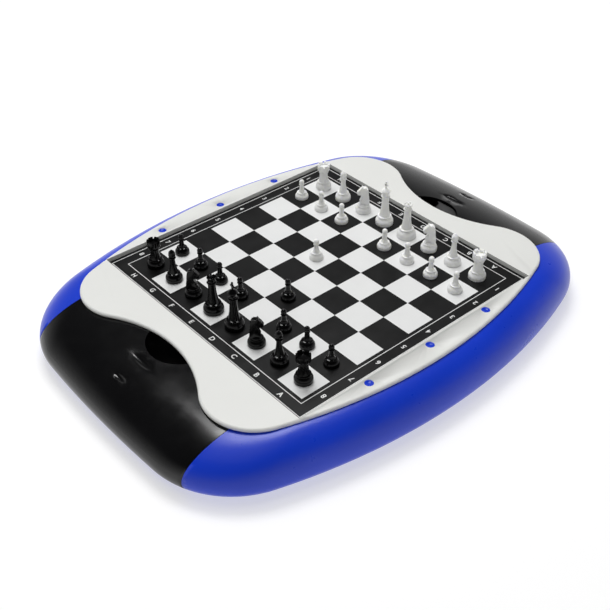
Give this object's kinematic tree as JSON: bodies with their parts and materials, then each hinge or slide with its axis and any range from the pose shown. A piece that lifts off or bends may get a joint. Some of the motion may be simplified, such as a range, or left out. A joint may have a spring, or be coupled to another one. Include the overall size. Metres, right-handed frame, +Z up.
{
  "type": "magnetic chess set",
  "caption": "Magnetic travel chess set: moulded case with recessed board, turned men and a pull-out storage drawer at each end.",
  "frame": {"origin": "on the floor under the middle of the board", "axes": "+X towards White's end of the board, +Y towards the h file, +Z up"},
  "size_m": [0.35, 0.27, 0.067],
  "materials": {
    "blue_plastic": "satin-gloss moulded plastic",
    "plug_blue_plastic": "gloss moulded plastic",
    "foot_rubber": "matt rubber",
    "black_satin_plastic": "fine-textured moulded plastic",
    "black_gloss_plastic": "high-gloss moulded plastic",
    "steel_sheet": "cold-rolled steel sheet",
    "printed_sheet": "printed satin plastic sheet with light and dark squares",
    "white_panel_plastic": "satin off-white moulded plastic",
    "zinc_screw": "zinc-plated steel",
    "white_man_plastic": "slightly translucent white plastic",
    "black_man_plastic": "gloss black plastic"
  },
  "bodies": {
    "case": {"base_shell": "blue_plastic", "rubber_feet": "foot_rubber", "support_deck": "black_satin_plastic", "steel_plate": "steel_sheet", "board_sheet": "printed_sheet", "top_panel": "white_panel_plastic", "panel_screws": "zinc_screw", "panel_plugs": "plug_blue_plastic"},
    "white_end_drawer": {"white_end_drawer_bin": "black_satin_plastic", "white_end_drawer_handle": "black_gloss_plastic", "white_end_drawer_screws": "zinc_screw"},
    "black_end_drawer": {"black_end_drawer_bin": "black_satin_plastic", "black_end_drawer_handle": "black_gloss_plastic", "black_end_drawer_screws": "zinc_screw"},
    "white_rook_a_body": {"white_rook_a": "white_man_plastic"},
    "white_bishop_b_body": {"white_bishop_b": "white_man_plastic"},
    "white_knight_c_body": {"white_knight_c": "white_man_plastic"},
    "white_queen_body": {"white_queen": "white_man_plastic"},
    "white_king_body": {"white_king": "white_man_plastic"},
    "white_knight_f_body": {"white_knight_f": "white_man_plastic"},
    "white_bishop_g_body": {"white_bishop_g": "white_man_plastic"},
    "white_rook_h_body": {"white_rook_h": "white_man_plastic"},
    "white_pawn_a_body": {"white_pawn_a": "white_man_plastic"},
    "white_pawn_b_body": {"white_pawn_b": "white_man_plastic"},
    "white_pawn_c_body": {"white_pawn_c": "white_man_plastic"},
    "white_pawn_d_body": {"white_pawn_d": "white_man_plastic"},
    "white_pawn_e_body": {"white_pawn_e": "white_man_plastic"},
    "white_pawn_f_body": {"white_pawn_f": "white_man_plastic"},
    "white_pawn_g_body": {"white_pawn_g": "white_man_plastic"},
    "white_pawn_h_body": {"white_pawn_h": "white_man_plastic"},
    "black_rook_a_body": {"black_rook_a": "black_man_plastic"},
    "black_bishop_b_body": {"black_bishop_b": "black_man_plastic"},
    "black_knight_c_body": {"black_knight_c": "black_man_plastic"},
    "black_queen_body": {"black_queen": "black_man_plastic"},
    "black_king_body": {"black_king": "black_man_plastic"},
    "black_knight_f_body": {"black_knight_f": "black_man_plastic"},
    "black_bishop_g_body": {"black_bishop_g": "black_man_plastic"},
    "black_rook_h_body": {"black_rook_h": "black_man_plastic"},
    "black_pawn_a_body": {"black_pawn_a": "black_man_plastic"},
    "black_pawn_b_body": {"black_pawn_b": "black_man_plastic"},
    "black_pawn_c_body": {"black_pawn_c": "black_man_plastic"},
    "black_pawn_d_body": {"black_pawn_d": "black_man_plastic"},
    "black_pawn_e_body": {"black_pawn_e": "black_man_plastic"},
    "black_pawn_f_body": {"black_pawn_f": "black_man_plastic"},
    "black_pawn_g_body": {"black_pawn_g": "black_man_plastic"},
    "black_pawn_h_body": {"black_pawn_h": "black_man_plastic"}
  },
  "joints": [
    {"name": "white_end_drawer_slide", "type": "slide", "parent": "case", "child": "white_end_drawer", "axis": [1, 0, 0], "range_m": [0, 0.085]},
    {"name": "black_end_drawer_slide", "type": "slide", "parent": "case", "child": "black_end_drawer", "axis": [-1, 0, 0], "range_m": [0, 0.085]},
    {"name": "white_rook_a_lift", "type": "slide", "parent": "case", "child": "white_rook_a_body", "axis": [0, 0, 1], "range_m": [0, 0.04]},
    {"name": "white_bishop_b_lift", "type": "slide", "parent": "case", "child": "white_bishop_b_body", "axis": [0, 0, 1], "range_m": [0, 0.04]},
    {"name": "white_knight_c_lift", "type": "slide", "parent": "case", "child": "white_knight_c_body", "axis": [0, 0, 1], "range_m": [0, 0.04]},
    {"name": "white_queen_lift", "type": "slide", "parent": "case", "child": "white_queen_body", "axis": [0, 0, 1], "range_m": [0, 0.04]},
    {"name": "white_king_lift", "type": "slide", "parent": "case", "child": "white_king_body", "axis": [0, 0, 1], "range_m": [0, 0.04]},
    {"name": "white_knight_f_lift", "type": "slide", "parent": "case", "child": "white_knight_f_body", "axis": [0, 0, 1], "range_m": [0, 0.04]},
    {"name": "white_bishop_g_lift", "type": "slide", "parent": "case", "child": "white_bishop_g_body", "axis": [0, 0, 1], "range_m": [0, 0.04]},
    {"name": "white_rook_h_lift", "type": "slide", "parent": "case", "child": "white_rook_h_body", "axis": [0, 0, 1], "range_m": [0, 0.04]},
    {"name": "white_pawn_a_lift", "type": "slide", "parent": "case", "child": "white_pawn_a_body", "axis": [0, 0, 1], "range_m": [0, 0.04]},
    {"name": "white_pawn_b_lift", "type": "slide", "parent": "case", "child": "white_pawn_b_body", "axis": [0, 0, 1], "range_m": [0, 0.04]},
    {"name": "white_pawn_c_lift", "type": "slide", "parent": "case", "child": "white_pawn_c_body", "axis": [0, 0, 1], "range_m": [0, 0.04]},
    {"name": "white_pawn_d_lift", "type": "slide", "parent": "case", "child": "white_pawn_d_body", "axis": [0, 0, 1], "range_m": [0, 0.04]},
    {"name": "white_pawn_e_lift", "type": "slide", "parent": "case", "child": "white_pawn_e_body", "axis": [0, 0, 1], "range_m": [0, 0.04]},
    {"name": "white_pawn_f_lift", "type": "slide", "parent": "case", "child": "white_pawn_f_body", "axis": [0, 0, 1], "range_m": [0, 0.04]},
    {"name": "white_pawn_g_lift", "type": "slide", "parent": "case", "child": "white_pawn_g_body", "axis": [0, 0, 1], "range_m": [0, 0.04]},
    {"name": "white_pawn_h_lift", "type": "slide", "parent": "case", "child": "white_pawn_h_body", "axis": [0, 0, 1], "range_m": [0, 0.04]},
    {"name": "black_rook_a_lift", "type": "slide", "parent": "case", "child": "black_rook_a_body", "axis": [0, 0, 1], "range_m": [0, 0.04]},
    {"name": "black_bishop_b_lift", "type": "slide", "parent": "case", "child": "black_bishop_b_body", "axis": [0, 0, 1], "range_m": [0, 0.04]},
    {"name": "black_knight_c_lift", "type": "slide", "parent": "case", "child": "black_knight_c_body", "axis": [0, 0, 1], "range_m": [0, 0.04]},
    {"name": "black_queen_lift", "type": "slide", "parent": "case", "child": "black_queen_body", "axis": [0, 0, 1], "range_m": [0, 0.04]},
    {"name": "black_king_lift", "type": "slide", "parent": "case", "child": "black_king_body", "axis": [0, 0, 1], "range_m": [0, 0.04]},
    {"name": "black_knight_f_lift", "type": "slide", "parent": "case", "child": "black_knight_f_body", "axis": [0, 0, 1], "range_m": [0, 0.04]},
    {"name": "black_bishop_g_lift", "type": "slide", "parent": "case", "child": "black_bishop_g_body", "axis": [0, 0, 1], "range_m": [0, 0.04]},
    {"name": "black_rook_h_lift", "type": "slide", "parent": "case", "child": "black_rook_h_body", "axis": [0, 0, 1], "range_m": [0, 0.04]},
    {"name": "black_pawn_a_lift", "type": "slide", "parent": "case", "child": "black_pawn_a_body", "axis": [0, 0, 1], "range_m": [0, 0.04]},
    {"name": "black_pawn_b_lift", "type": "slide", "parent": "case", "child": "black_pawn_b_body", "axis": [0, 0, 1], "range_m": [0, 0.04]},
    {"name": "black_pawn_c_lift", "type": "slide", "parent": "case", "child": "black_pawn_c_body", "axis": [0, 0, 1], "range_m": [0, 0.04]},
    {"name": "black_pawn_d_lift", "type": "slide", "parent": "case", "child": "black_pawn_d_body", "axis": [0, 0, 1], "range_m": [0, 0.04]},
    {"name": "black_pawn_e_lift", "type": "slide", "parent": "case", "child": "black_pawn_e_body", "axis": [0, 0, 1], "range_m": [0, 0.04]},
    {"name": "black_pawn_f_lift", "type": "slide", "parent": "case", "child": "black_pawn_f_body", "axis": [0, 0, 1], "range_m": [0, 0.04]},
    {"name": "black_pawn_g_lift", "type": "slide", "parent": "case", "child": "black_pawn_g_body", "axis": [0, 0, 1], "range_m": [0, 0.04]},
    {"name": "black_pawn_h_lift", "type": "slide", "parent": "case", "child": "black_pawn_h_body", "axis": [0, 0, 1], "range_m": [0, 0.04]}
  ]
}
